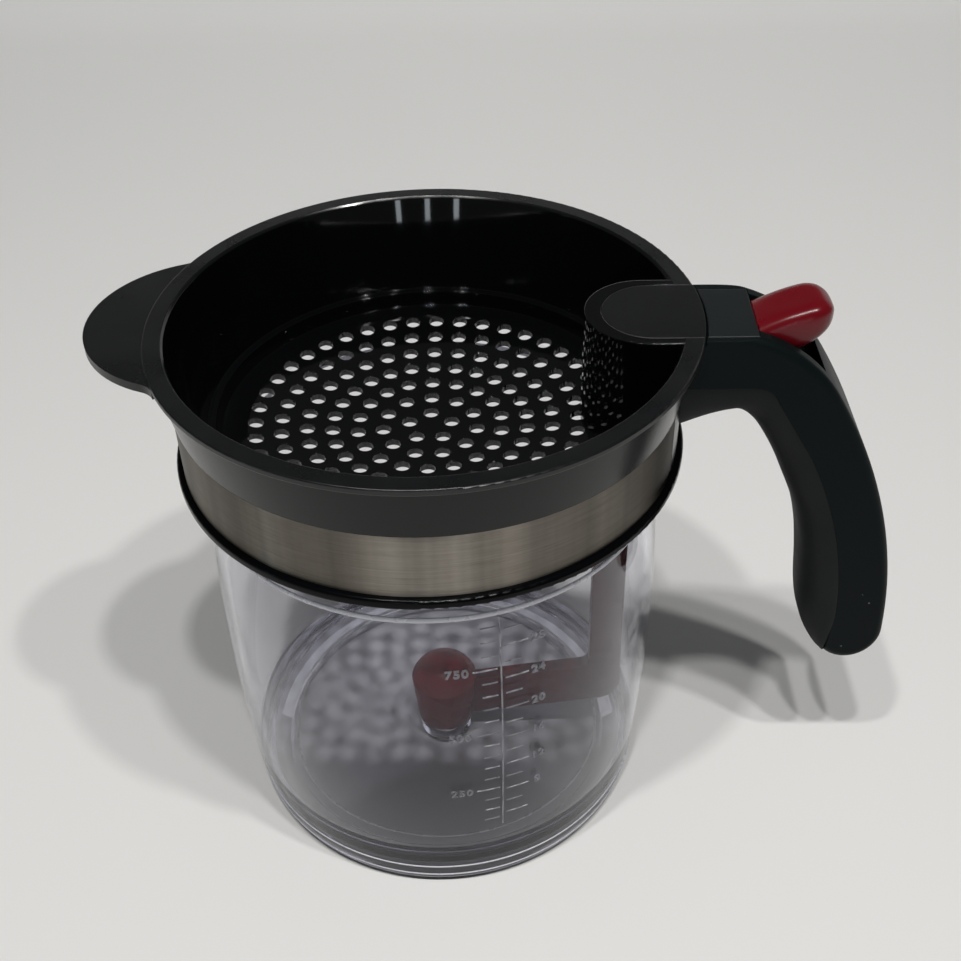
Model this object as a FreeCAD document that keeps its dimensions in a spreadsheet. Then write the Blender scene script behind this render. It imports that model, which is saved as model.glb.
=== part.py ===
"""Gravy fat separator: a clear cup with a strainer lid and a thumb lever that lifts a stopper off its outlet.

Frame: +Z up, +X towards the handle, origin at the centre of the foot on the table. Millimetres.
"""
import FreeCAD
import Part
import os
import re
import Sketcher
from FreeCAD import Placement, Rotation, Vector

SIZES = {
    # clear cup
    "cup_height": 127.0,
    "cup_wall": 2.5,
    "neck_radius": 59.5,
    "neck_length": 13.0,
    "shoulder_drop": 2.0,
    "shoulder_out": 0.4,
    "belly_out": 2.7,
    "belly_height": 60.0,
    "heel_in": 3.3,
    "heel_height": 3.2,
    "foot_in": 2.3,
    "foot_width": 6.4,
    "floor_height": 8.6,
    "floor_thick": 3.2,
    "bowl_radius": 10.6,
    "bowl_inset": 1.3,
    "outlet_radius": 6.0,
    "outlet_wall": 2.0,
    "outlet_drop": 3.4,
    # collar, lip ring and steel band
    "neck_fit": 0.1,
    "collar_wall": 4.4,
    "collar_rim": 1.8,
    "lip_under": 8.9,
    "lip_height": 2.9,
    "lip_out": 1.7,
    "lip_round": 0.9,
    "band_thick": 0.9,
    "band_height": 17.9,
    "band_opening": 40.0,
    "flare_out": 3.0,
    "flare_height": 14.7,
    "notch_width": 11.0,
    # strainer lid
    "lid_clear": 0.4,
    "flange_gap": 0.2,
    "rim_thick": 1.8,
    "rim_overhang": 1.3,
    "rim_bevel": 0.6,
    "lid_wall": 1.6,
    "lid_inset": 1.2,
    "nest_rise": 0.6,
    "nest_gap": 0.8,
    "ledge_rise": 1.9,
    "step_height": 4.2,
    "step_lean": 0.7,
    "nest_wall": 1.1,
    "dish_margin": 6.9,
    "dish_depth": 4.4,
    "dish_thick": 1.8,
    "hole_radius": 2.1,
    "ring_first": 5.9,
    "ring_margin": 1.76,
    "boss_radius": 15.0,
    "boss_wall": 1.8,
    "boss_roof": 3.0,
    "boss_reach": 14.5,
    "boss_mouth": 11.7,
    "inlay_radius": 12.5,
    "inlay_reach": 12.9,
    "inlay_thick": 1.2,
    "inlay_gap": 0.15,
    "tab_radius": 30.0,
    "tab_reach": 15.5,
    "tab_thick": 2.4,
    "tab_sink": 1.0,
    "tab_blend": 6.0,
    "tab_root": 0.7,
    # handle outline: how far out from the lid's rim, and how far down from its top
    "rim_clear": 0.4,
    "handle_width": 27.0,
    "handle_sink": 0.6,
    "crest_out": 12.3,
    "brow_out": 24.3,
    "brow_drop": 7.1,
    "knuckle_out": 34.0,
    "knuckle_drop": 17.9,
    "tail_out": 59.2,
    "tail_drop": 99.0,
    "seam_end_out": 43.4,
    "seam_end_drop": 106.4,
    "seam_foot_out": 43.9,
    "seam_foot_drop": 98.1,
    "seam_low_out": 44.3,
    "seam_low_drop": 91.3,
    "seam_bow_out": 40.0,
    "seam_bow_drop": 64.6,
    "seam_knee_out": 29.5,
    "seam_knee_drop": 36.9,
    "seam_turn_out": 19.0,
    "seam_turn_drop": 19.4,
    "seam_arch_out": 16.4,
    "seam_arch_drop": 15.7,
    "seam_top_out": 12.2,
    "seam_top_drop": 14.5,
    "palm_end_out": 40.9,
    "palm_end_drop": 103.6,
    "palm_waist_out": 31.4,
    "palm_waist_drop": 67.2,
    "palm_high_out": 21.2,
    "palm_high_drop": 39.2,
    "palm_arch_out": 15.6,
    "palm_arch_drop": 29.9,
    "palm_top_out": 7.6,
    "palm_top_drop": 25.2,
    "palm_root_drop": 29.6,
    "back_round": 2.4,
    "palm_round": 8.0,
    "cap_thick": 1.0,
    "cap_side": 2.0,
    "slot_width": 17.4,
    "slot_back": 30.2,
    "slot_roof": 2.1,
    "slot_floor": 17.1,
    "block_side": 2.0,
    "block_reach": 8.0,
    "block_top": 14.0,
    "block_foot": 21.6,
    "block_fit": 0.1,
    # lever, pins and spring
    "thumb_width": 16.0,
    "thumb_round": 3.0,
    "thumb_root_out": 12.7,
    "thumb_root_drop": 0.6,
    "thumb_lean": 0.6,
    "thumb_rise_out": 18.9,
    "thumb_rise_lift": 2.8,
    "thumb_crown_out": 25.6,
    "thumb_crown_lift": 4.9,
    "thumb_tip_out": 31.8,
    "thumb_tip_drop": 0.4,
    "thumb_under_out": 28.4,
    "thumb_under_drop": 4.2,
    "thumb_belly_out": 22.2,
    "thumb_belly_drop": 9.0,
    "thumb_back_out": 9.9,
    "thumb_back_drop": 12.2,
    "beam_width": 8.0,
    "pivot_out": 4.8,
    "pivot_drop": 9.6,
    "pivot_radius": 1.75,
    "pivot_cover": 1.5,
    "pin_fit": 0.06,
    "hub_radius": 3.8,
    "link_inset": 4.2,
    "link_drop": 14.6,
    "link_radius": 1.5,
    "link_length": 7.6,
    "nose_radius": 3.6,
    "fork_reach": 6.5,
    "fork_gap": 0.3,
    "spring_wire": 0.45,
    "spring_turns": 3.0,
    "spring_pitch": 1.1,
    "spring_gap": 0.1,
    # lifting arm and stopper
    "arm_thick": 4.0,
    "strap_width": 9.8,
    "strap_clear": 1.9,
    "strap_over": 3.3,
    "link_play": 0.8,
    "link_slack": 0.1,
    "arm_height": 14.7,
    "arm_lift": 0.6,
    "arm_rise": 6.4,
    "arm_corner": 8.6,
    "arm_tail": 4.0,
    "elbow_round": 3.0,
    "stopper_radius": 10.1,
    "stopper_foot": 8.7,
    "stopper_side": 15.8,
    "stopper_dome": 6.6,
    "stopper_gap": 0.1,
    "plug_fit": 0.3,
    "plug_depth": 2.3,
    "plug_taper": 0.5,
    # handle screws
    "screw_radius": 1.5,
    "screw_head": 2.6,
    "screw_head_thick": 1.4,
    "screw_length": 11.0,
    "screw_side": 5.0,
    "screw_drop": 19.4,
    "screw_fit": 0.05,
}

# heights and radii that follow from the sizes
PLACES = {
    "neck_inside": "neck_radius - cup_wall",
    "neck_foot": "cup_height - neck_length",
    "shoulder_height": "neck_foot - shoulder_drop",
    "shoulder_radius": "neck_radius + shoulder_out",
    "belly_radius": "neck_radius + belly_out",
    "heel_radius": "belly_radius - heel_in",
    "foot_radius": "heel_radius - foot_in",
    "belly_inside": "belly_radius - cup_wall",
    "bowl_wall": "belly_inside - bowl_inset",
    "bowl_height": "floor_height + bowl_radius",
    "floor_flat": "bowl_wall - bowl_radius",
    "floor_under": "floor_height - floor_thick",
    "lip_bottom": "cup_height - lip_under",
    "band_bottom": "lip_bottom + lip_height",
    "band_top": "band_bottom + band_height",
    "collar_bore": "neck_radius + neck_fit",
    "band_seat": "collar_bore + collar_wall",
    "band_outer": "band_seat + band_thick",
    "lip_radius": "band_outer + lip_out",
    "collar_top": "band_top + flare_height",
    "flare_top": "band_outer + flare_out",
    "flange_bottom": "collar_top + flange_gap",
    "rim_top": "flange_bottom + rim_thick",
    "rim_radius": "flare_top + rim_overhang",
    "cone_foot": "cup_height + nest_rise",
    "cone_foot_radius": "neck_radius - lid_inset",
    "cone_head_radius": "flare_top - collar_rim - lid_clear",
    "cone_slope": "(cone_head_radius - cone_foot_radius) / (flange_bottom - cone_foot)",
    "collar_ledge": "cup_height + flange_gap",
    "ledge_height": "cone_foot + ledge_rise",
    "ledge_radius": "cone_foot_radius - lid_wall + ledge_rise * cone_slope",
    "nest_radius": "neck_inside - nest_gap",
    "step_radius": "nest_radius - nest_wall",
    "step_foot": "ledge_height - step_height",
    "dish_foot": "step_foot - dish_depth",
    "dish_radius": "step_radius - step_lean - dish_margin",
    "ring_pitch": "(dish_radius - ring_margin - ring_first) / 6",
    "boss_centre": "rim_radius - boss_reach",
    "boss_ceiling": "rim_top - boss_roof",
    "inlay_centre": "rim_radius - inlay_reach",
    "inlay_seat": "rim_top - inlay_thick",
    "tab_centre": "rim_radius + tab_reach - tab_radius",
    "tab_top": "rim_top - tab_sink",
    "blend_reach": "rim_radius + tab_blend",
    "blend_span": "tab_radius + tab_blend",
    "blend_out": "(blend_reach^2 - blend_span^2 + tab_centre^2) / (2 * tab_centre)",
    "blend_side": "sqrt(blend_reach^2 - blend_out^2)",
    "tab_inner": "rim_radius - tab_root",
    "plate_top": "rim_top - handle_sink",
    "plate_front": "rim_radius + rim_clear",
    "cap_floor": "plate_top - cap_thick",
    "slot_ceiling": "plate_top - slot_roof",
    "pivot_across": "rim_radius + pivot_out",
    "pivot_height": "rim_top - pivot_drop",
    "pivot_length": "handle_width - 2 * pivot_cover",
    "link_across": "boss_centre - link_inset",
    "link_height": "rim_top - link_drop",
    "strap_outer": "neck_inside - strap_clear",
    "strap_inner": "strap_outer - strap_width",
    "strap_top": "link_height + strap_over",
    "arm_bottom": "floor_height + arm_lift",
    "elbow_height": "arm_bottom + arm_rise",
    "corner_across": "strap_outer - arm_corner",
    "corner_height": "elbow_height + arm_corner",
    "arm_slope": "arm_rise / (corner_across - stopper_foot)",
    "stopper_bottom": "floor_height + stopper_gap",
    "stopper_shoulder": "stopper_bottom + stopper_side",
    "screw_front": "cone_foot_radius + lid_clear + (rim_top - screw_drop - cone_foot) * cone_slope",
    "screw_seat": "screw_front + lid_clear + screw_head_thick",
}

# strainer holes, ring by ring from the middle: how many, and the angle of the first
HOLE_COUNTS = (5, 11, 18, 26, 30, 36, 42)
HOLE_STARTS = (18.4, 25.0, 10.4, 7.1, 6.1, 0.1, 4.2)

SCREW_SIDES = (-1, 1)
FAR = "200"
NAME = re.compile("[a-z_]+")

doc = FreeCAD.newDocument("FatSeparator")


def bound(text):
    """The expression with every size and place pointing at its spreadsheet cell."""
    def cell(match):
        word = match.group()
        if word in SIZES:
            return "Sizes." + word
        if word in PLACES:
            return "Places." + word
        return word
    return NAME.sub(cell, text)


def fill(name, cells):
    sheet = doc.addObject("Spreadsheet::Sheet", name)
    for row, (alias, content) in enumerate(cells.items(), 1):
        sheet.set(f"A{row}", alias)
        sheet.set(f"B{row}", content)
        sheet.setAlias(f"B{row}", alias)
    doc.recompute()
    return sheet


fill("Sizes", {alias: str(value) for alias, value in SIZES.items()})
places = fill("Places", {alias: "=" + bound(formula) for alias, formula in PLACES.items()})


def number(text):
    return float(places.evalExpression(bound(text)))


def new_body(label):
    body = doc.addObject("PartDesign::Body", label)
    body.Label = label
    return body


def origin_feature(body, role):
    return next(feature for feature in body.Origin.OriginFeatures if feature.Role == role)


def new_sketch(body, name, role, lift="0"):
    sketch = body.newObject("Sketcher::SketchObject", name)
    sketch.AttachmentSupport = (origin_feature(body, role), [""])
    sketch.MapMode = "FlatFace"
    sketch.setExpression("AttachmentOffset.Base.z", bound(lift))
    return sketch


def pin_down(sketch, geometry, point, across, up):
    """Hold one point of the sketch at the two expressions."""
    for kind, text in (("DistanceX", across), ("DistanceY", up)):
        row = sketch.addConstraint(Sketcher.Constraint(kind, -1, 1, geometry, point, number(text)))
        sketch.setExpression(f"Constraints[{row}]", bound(text))


def smooth_arc(start, stop, direction):
    """Middle of the arc that leaves `start` in `direction` and ends at `stop`, and its direction there."""
    along = (stop - start).normalize()
    sideways = direction - along * direction.dot(along)
    bulge = start.distanceToPoint(stop) / 2 * sideways.Length / (1 + direction.dot(along))
    return (start + stop) * 0.5 + sideways.normalize() * bulge, along * (2 * direction.dot(along)) - direction


def direction_at_end(start, via, stop):
    """Direction in which the arc through the three points arrives at the last."""
    tangent = (stop - Part.Circle(start, via, stop).Center).cross(Vector(0, 0, 1)).normalize()
    return tangent if tangent.dot(stop - via) > 0 else tangent * -1


def outline(body, name, role, points, lift="0"):
    """Closed outline of (across, up) points, each reached by a line from the one before.

    A point with two more values in front is reached by an arc through them, and one that starts
    with "smooth" by an arc that leaves the arc before without a corner.
    """
    sketch = new_sketch(body, name, role, lift)
    corners = [Vector(number(point[-2]), number(point[-1]), 0) for point in points]
    ends = []
    leaving = None
    for row, point in enumerate(points):
        start = corners[row - 1]
        stop = corners[row]
        if len(point) == 2:
            edge = sketch.addGeometry(Part.LineSegment(start, stop))
        else:
            if point[0] == "smooth":
                via, leaving = smooth_arc(start, stop, leaving)
            else:
                via = Vector(number(point[0]), number(point[1]), 0)
                leaving = direction_at_end(start, via, stop)
            edge = sketch.addGeometry(Part.Arc(start, via, stop))
        gap = start.distanceToPoint(sketch.getPoint(edge, 1)) - start.distanceToPoint(sketch.getPoint(edge, 2))
        ends.append((edge, 1, 2) if gap < 0 else (edge, 2, 1))
    for row, (edge, first, last) in enumerate(ends):
        before = ends[row - 1]
        join = "Tangent" if points[row][0] == "smooth" else "Coincident"
        sketch.addConstraint(Sketcher.Constraint(join, before[0], before[2], edge, first))
        pin_down(sketch, edge, last, points[row][-2], points[row][-1])
    for (edge, first, last), point in zip(ends, points):
        if len(point) == 4:
            via = sketch.addGeometry(Part.Point(Vector(number(point[0]), number(point[1]), 0)), True)
            pin_down(sketch, via, 1, point[0], point[1])
            sketch.addConstraint(Sketcher.Constraint("PointOnObject", via, 1, edge))
    return sketch


def circle(body, name, role, across, up, radius, lift="0"):
    sketch = new_sketch(body, name, role, lift)
    centre = Vector(number(across), number(up), 0)
    edge = sketch.addGeometry(Part.Circle(centre, Vector(0, 0, 1), number(radius)))
    pin_down(sketch, edge, 3, across, up)
    row = sketch.addConstraint(Sketcher.Constraint("Radius", edge, number(radius)))
    sketch.setExpression(f"Constraints[{row}]", bound(radius))
    return sketch


def box_points(left, low, right, high):
    return [(left, low), (right, low), (right, high), (left, high)]


def extrude(body, kind, name, sketch, length, symmetric=False, backward=False):
    feature = body.newObject("PartDesign::" + kind, name)
    feature.Profile = sketch
    feature.SideType = "Symmetric" if symmetric else "One side"
    feature.Reversed = backward
    feature.setExpression("Length", bound(length))
    return feature


def turn(body, kind, name, sketch, angle="360", symmetric=False):
    feature = body.newObject("PartDesign::" + kind, name)
    feature.Profile = sketch
    feature.ReferenceAxis = (sketch, ["V_Axis"])
    feature.Midplane = symmetric
    feature.setExpression("Angle", bound(angle))
    return feature


def round_off(body, name, radius, wanted):
    """Fillet every edge of the body's present shape for which wanted(edge) is true."""
    doc.recompute()
    tip = body.Tip
    names = [f"Edge{row}" for row, edge in enumerate(tip.Shape.Edges, 1) if wanted(edge)]
    feature = body.newObject("PartDesign::Fillet", name)
    feature.Base = (tip, names)
    feature.setExpression("Radius", bound(radius))
    return feature


def at_height(edge, height):
    box = edge.BoundBox
    return abs(box.ZMin - height) < 0.01 and abs(box.ZMax - height) < 0.01


def on_side(edge, half_width):
    """True for an edge that lies flat in one of the two side faces."""
    box = edge.BoundBox
    return box.YLength < 0.01 and abs(abs(box.YMin) - half_width) < 0.01


def on_outline(edge, names):
    """True for a flat side edge of the handle that starts or ends at one of the named points."""
    if edge.BoundBox.YLength > 0.01:
        return False
    corners = [(number(across), number(up)) for across, up in map(spot, names)]
    return any(abs(vertex.X - across) + abs(vertex.Z - up) < 0.01
               for vertex in edge.Vertexes for across, up in corners)


def halfway_rise(radius, depth):
    """How far an arc that is level at the axis has risen at half its radius."""
    bend = f"((({radius})^2 + ({depth})^2) / (2 * {depth}))"
    return f"({bend} - sqrt({bend}^2 - ({radius})^2 / 4))"


def spot(name):
    """A point of the handle's outline."""
    return (f"rim_radius + {name}_out", f"rim_top - {name}_drop")


def crest(name):
    """A point of the thumb lever above the rim."""
    return (f"rim_radius + {name}_out", f"rim_top + {name}_lift")


def cup():
    body = new_body("cup")
    wall = outline(body, "CupWall", "XZ_Plane", [
        ("foot_radius - foot_width", "0"),
        ("foot_radius", "0"),
        ("(foot_radius + 2 * heel_radius) / 3", "heel_height / 3", "heel_radius", "heel_height"),
        ("belly_radius", "belly_height", "shoulder_radius", "shoulder_height"),
        ("neck_radius", "neck_foot"),
        ("neck_radius", "cup_height"),
        ("neck_inside", "cup_height"),
        ("neck_inside", "neck_foot"),
        ("shoulder_radius - cup_wall", "shoulder_height"),
        ("belly_inside", "belly_height", "bowl_wall", "bowl_height"),
        ("bowl_wall - bowl_radius * (1 - sqrt(0.5))", "bowl_height - bowl_radius * sqrt(0.5)",
         "floor_flat", "floor_height"),
        ("outlet_radius", "floor_height"),
        ("outlet_radius", "floor_under - outlet_drop"),
        ("outlet_radius + outlet_wall", "floor_under - outlet_drop"),
        ("outlet_radius + outlet_wall", "floor_under"),
        ("foot_radius - foot_width", "floor_under"),
    ])
    turn(body, "Revolution", "CupBody", wall)
    round_off(body, "MouthRound", "cup_wall / 4", lambda edge: at_height(edge, number("cup_height")))
    return body


def collar():
    body = new_body("collar")
    ring = outline(body, "CollarWall", "XZ_Plane", [
        ("collar_bore", "band_bottom"),
        ("band_seat", "band_bottom"),
        ("band_seat", "band_top"),
        ("band_outer", "band_top"),
        ("flare_top", "collar_top"),
        ("cone_head_radius + lid_clear - flange_gap * cone_slope", "collar_top"),
        ("cone_foot_radius + lid_clear - (cone_foot - collar_ledge) * cone_slope", "collar_ledge"),
        ("collar_bore", "collar_ledge"),
    ])
    turn(body, "Revolution", "CollarBody", ring)
    pad = outline(body, "HandlePad", "XZ_Plane",
                  box_points("band_seat - collar_rim", "band_bottom", "band_outer", "band_top"))
    turn(body, "Revolution", "HandlePadBody", pad, "band_opening - 0.8", symmetric=True)
    notch = outline(body, "LeverNotch", "YZ_Plane",
                    box_points("-notch_width / 2", "band_top", "notch_width / 2", "rim_top"))
    extrude(body, "Pocket", "LeverNotchCut", notch, FAR, backward=True)
    for side in SCREW_SIDES:
        screw_hole(body, side, "Head", "screw_head + screw_fit", "screw_seat")
        screw_hole(body, side, "Shank", "screw_radius + screw_fit", "screw_seat + screw_length")
    return body


def screw_hole(body, side, name, radius, reach):
    """Round hole along a handle screw, from the axis of the cup out to `reach`."""
    label = f"Screw{name}{'Left' if side > 0 else 'Right'}"
    hole = circle(body, label, "YZ_Plane", f"{side} * screw_side", "rim_top - screw_drop", radius)
    extrude(body, "Pocket", label + "Cut", hole, reach, backward=True)


def collar_lower_ring():
    body = new_body("collar_lower_ring")
    ring = outline(body, "LipSection", "XZ_Plane",
                   box_points("collar_bore", "lip_bottom", "lip_radius", "band_bottom"))
    turn(body, "Revolution", "LipBody", ring)
    lip = number("lip_radius")
    round_off(body, "LipRound", "lip_round", lambda edge: abs(edge.BoundBox.XMax - lip) < 0.01)
    return body


def steel_band():
    body = new_body("steel_band")
    strip = outline(body, "BandSection", "XZ_Plane",
                    box_points("band_seat", "band_bottom", "band_outer", "band_top"))
    turn(body, "Revolution", "BandBody", strip, "360 - band_opening", symmetric=True)
    body.Placement = Placement(Vector(0, 0, 0), Rotation(Vector(0, 0, 1), 180))
    return body


def strainer_lid():
    body = new_body("strainer_lid")
    dish_rise = halfway_rise("dish_radius", "dish_depth")
    shell = outline(body, "LidSection", "XZ_Plane", [
        ("0", "dish_foot - dish_thick"),
        ("dish_radius / 2", f"dish_foot - dish_thick + {dish_rise}",
         "dish_radius", "step_foot - dish_thick"),
        ("nest_radius", "step_foot - dish_thick"),
        ("nest_radius", "cone_foot"),
        ("cone_foot_radius", "cone_foot"),
        ("cone_head_radius", "flange_bottom"),
        ("rim_radius", "flange_bottom"),
        ("rim_radius", "rim_top"),
        ("cone_head_radius - lid_wall + rim_bevel", "rim_top"),
        ("cone_head_radius - lid_wall", "rim_top - rim_bevel"),
        ("ledge_radius", "ledge_height"),
        ("step_radius", "ledge_height"),
        ("step_radius - step_lean", "step_foot"),
        ("dish_radius", "step_foot"),
        ("dish_radius / 2", f"dish_foot + {dish_rise}", "0", "dish_foot"),
    ])
    turn(body, "Revolution", "LidBody", shell)
    rim = number("rim_radius")
    round_off(body, "RimRound", "rim_thick / 4", lambda edge: abs(edge.BoundBox.XMax - rim) < 0.01)
    strainer_holes(body)
    lid_tab(body)
    lever_boss(body)
    return body


def strainer_holes(body):
    for ring, (count, start) in enumerate(zip(HOLE_COUNTS, HOLE_STARTS)):
        radius = f"(ring_first + {ring} * ring_pitch)"
        hole = circle(body, f"Hole{ring}", "XY_Plane", f"{radius} * cos({start} deg)",
                      f"{radius} * sin({start} deg)", "hole_radius", lift="dish_foot - 2 * dish_thick")
        cut = extrude(body, "Pocket", f"HoleCut{ring}", hole, "dish_depth + 3 * dish_thick", backward=True)
        pattern = body.newObject("PartDesign::PolarPattern", f"HoleRing{ring}")
        pattern.Originals = [cut]
        pattern.Axis = (origin_feature(body, "Z_Axis"), [""])
        pattern.Occurrences = count
        cut.Refine = False
        pattern.Refine = False
        body.Tip = pattern


def lid_tab(body):
    """Finger tab opposite the handle, blended into the rim on both sides."""
    rim_share = "rim_radius / blend_reach"
    disc_share = "tab_radius / blend_span"
    rim_out = f"blend_out * {rim_share}"
    rim_side = f"blend_side * {rim_share}"
    disc_out = f"tab_centre + (blend_out - tab_centre) * {disc_share}"
    disc_side = f"blend_side * {disc_share}"
    bend_out = f"blend_out + tab_blend * ({rim_out} + {disc_out} - 2 * blend_out) / " \
               f"sqrt(({rim_out} + {disc_out} - 2 * blend_out)^2 + ({rim_side} + {disc_side} - 2 * blend_side)^2)"
    bend_side = f"blend_side + tab_blend * ({rim_side} + {disc_side} - 2 * blend_side) / " \
                f"sqrt(({rim_out} + {disc_out} - 2 * blend_out)^2 + ({rim_side} + {disc_side} - 2 * blend_side)^2)"
    root_out = "blend_out * tab_inner / blend_reach"
    root_side = "blend_side * tab_inner / blend_reach"
    plan = outline(body, "TabPlan", "XY_Plane", [
        (f"-({rim_out})", f"{rim_side}"),
        (f"-({bend_out})", bend_side, f"-({disc_out})", disc_side),
        ("-(tab_centre + tab_radius)", "0", f"-({disc_out})", f"-({disc_side})"),
        (f"-({bend_out})", f"-({bend_side})", f"-({rim_out})", f"-({rim_side})"),
        (f"-({root_out})", f"-({root_side})"),
        ("-tab_inner", "0", f"-({root_out})", root_side),
    ], lift="tab_top - tab_thick")
    extrude(body, "Pad", "TabBody", plan, "tab_thick")


def lever_boss(body):
    """Rounded cover over the lever's end: closed on top, open below and towards the handle."""
    plan = outline(body, "BossPlan", "XY_Plane", rounded_end("boss_centre", "boss_radius", "cone_head_radius"),
                   lift="step_foot - dish_thick")
    extrude(body, "Pad", "BossBody", plan, "rim_top - step_foot + dish_thick")
    outside = outline(body, "OutsideTrim", "XZ_Plane", [
        ("nest_radius", "0"),
        ("nest_radius", "cone_foot"),
        ("cone_foot_radius", "cone_foot"),
        ("cone_head_radius", "flange_bottom"),
        ("tab_inner", "flange_bottom"),
        ("tab_inner", "0"),
    ])
    turn(body, "Groove", "OutsideTrimCut", outside)
    inside = outline(body, "BossHollow", "XY_Plane",
                     rounded_end("boss_centre", "boss_radius - boss_wall", "cone_foot_radius"))
    extrude(body, "Pocket", "BossHollowCut", inside, "boss_ceiling", backward=True)
    mouth = outline(body, "BossMouth", "XY_Plane",
                    box_points("boss_centre", "-boss_mouth / 2", FAR, "boss_mouth / 2"))
    extrude(body, "Pocket", "BossMouthCut", mouth, "boss_ceiling", backward=True)
    recess = outline(body, "InlayRecess", "XY_Plane",
                     rounded_end("inlay_centre", "inlay_radius", "rim_radius + rim_overhang"), lift="rim_top")
    extrude(body, "Pocket", "InlayRecessCut", recess, "inlay_thick")


def rounded_end(centre, radius, reach):
    """Plan of a D: a half circle towards the middle and two straight sides outwards to `reach`."""
    return [
        (reach, f"({radius})"),
        (centre, f"({radius})"),
        (f"{centre} - ({radius})", "0", centre, f"-({radius})"),
        (reach, f"-({radius})"),
    ]


def lid_inlay_plate():
    body = new_body("lid_inlay_plate")
    radius = "(inlay_radius - inlay_gap)"
    corner = f"sqrt(rim_radius^2 - {radius}^2)"
    plan = outline(body, "InlayPlan", "XY_Plane", [
        (corner, f"-{radius}"),
        ("rim_radius", "0", corner, radius),
        ("inlay_centre", radius),
        (f"inlay_centre - {radius}", "0", "inlay_centre", f"-{radius}"),
    ], lift="inlay_seat")
    extrude(body, "Pad", "InlayBody", plan, "inlay_thick")
    return body


SEAM = [
    spot("seam_foot") + spot("seam_low"),
    spot("seam_bow") + spot("seam_knee"),
    spot("seam_turn"),
    spot("seam_arch") + spot("seam_top"),
    ("collar_bore", "rim_top - seam_top_drop"),
]


def trim_to_collar(body):
    """Cut the root to the collar's outside and to the lid's rim."""
    front = outline(body, "RootTrim", "XZ_Plane", [
        ("0", "0"),
        ("lip_radius", "0"),
        ("lip_radius", "band_bottom"),
        ("band_outer + screw_fit", "band_bottom"),
        ("band_outer + screw_fit", "band_top"),
        ("flare_top + screw_fit", "collar_top"),
        ("plate_front", "collar_top"),
        ("plate_front", "rim_top + handle_sink"),
        ("0", "rim_top + handle_sink"),
    ])
    turn(body, "Groove", "RootTrimCut", front)


def lever_cavity(body):
    """Room for the lever: covered near the collar and open on top behind the cap."""
    room = outline(body, "Cavity", "XZ_Plane", [
        ("collar_bore", "rim_top - slot_floor"),
        ("rim_radius + slot_back", "rim_top - slot_floor"),
        ("rim_radius + slot_back", "rim_top + handle_sink"),
        ("rim_radius + crest_out", "rim_top + handle_sink"),
        ("rim_radius + crest_out", "slot_ceiling"),
        ("collar_bore", "slot_ceiling"),
    ])
    extrude(body, "Pocket", "CavityCut", room, "slot_width", symmetric=True)


def handle_shell():
    body = new_body("handle_shell")
    flank = outline(body, "ShellSide", "XZ_Plane", [
        ("collar_bore", "plate_top"),
        ("rim_radius + crest_out", "plate_top"),
        spot("brow") + spot("knuckle"),
        ("smooth",) + spot("tail"),
        ("smooth",) + spot("seam_end"),
    ] + SEAM)
    extrude(body, "Pad", "ShellBody", flank, "handle_width", symmetric=True)
    round_off(body, "BackRound", "back_round", lambda edge: on_outline(edge, ("knuckle", "tail")))
    block = outline(body, "RootBlock", "XZ_Plane", box_points(
        "collar_bore", "rim_top - block_foot", "rim_radius + block_reach", "rim_top - block_top"))
    extrude(body, "Pad", "RootBlockBody", block, "handle_width - 2 * block_side", symmetric=True)
    trim_to_collar(body)
    lever_cavity(body)
    cap_bed = outline(body, "CapBed", "XY_Plane", cap_plan("0"), lift="plate_top")
    extrude(body, "Pocket", "CapBedCut", cap_bed, "cap_thick")
    for side in SCREW_SIDES:
        screw_hole(body, side, "Shank", "screw_radius + screw_fit", "screw_seat + screw_length + screw_fit")
    axle = circle(body, "PivotBore", "XZ_Plane", "pivot_across", "pivot_height", "pivot_radius + pin_fit")
    extrude(body, "Pocket", "PivotBoreCut", axle, "pivot_length + 2 * pin_fit", symmetric=True)
    return body


def cap_plan(gap):
    """Plan of the cap: straight sides, a straight back and a front that follows the lid's rim."""
    front = f"(plate_front + {gap})"
    side = f"(handle_width / 2 - cap_side - {gap})"
    corner = f"sqrt({front}^2 - {side}^2)"
    return [
        (corner, f"-{side}"),
        (front, "0", corner, side),
        ("rim_radius + crest_out", side),
        ("rim_radius + crest_out", f"-{side}"),
    ]


def handle_top_cap():
    body = new_body("handle_top_cap")
    plan = outline(body, "CapPlan", "XY_Plane", cap_plan("inlay_gap"), lift="cap_floor")
    extrude(body, "Pad", "CapBody", plan, "cap_thick")
    round_off(body, "CapRound", "cap_thick / 4", lambda edge: at_height(edge, number("plate_top")))
    return body


def handle_grip():
    """Soft inner half of the handle, between the seam and the fingers."""
    body = new_body("handle_grip")
    flank = outline(body, "GripSide", "XZ_Plane", [
        ("collar_bore", "rim_top - palm_root_drop"),
        spot("palm_top"),
        spot("palm_arch") + spot("palm_high"),
        ("smooth",) + spot("palm_waist"),
        ("smooth",) + spot("palm_end"),
        spot("seam_end"),
    ] + SEAM)
    extrude(body, "Pad", "GripBody", flank, "handle_width", symmetric=True)
    round_off(body, "PalmRound", "palm_round", lambda edge: on_outline(edge, ("palm_high", "palm_waist")))
    trim_to_collar(body)
    lever_cavity(body)
    bed = outline(body, "BlockBed", "XZ_Plane", box_points(
        "collar_bore", "rim_top - block_foot - block_fit",
        "rim_radius + block_reach + block_fit", "rim_top - seam_top_drop + handle_sink"))
    extrude(body, "Pocket", "BlockBedCut", bed, "handle_width - 2 * block_side + 2 * block_fit", symmetric=True)
    return body


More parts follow.
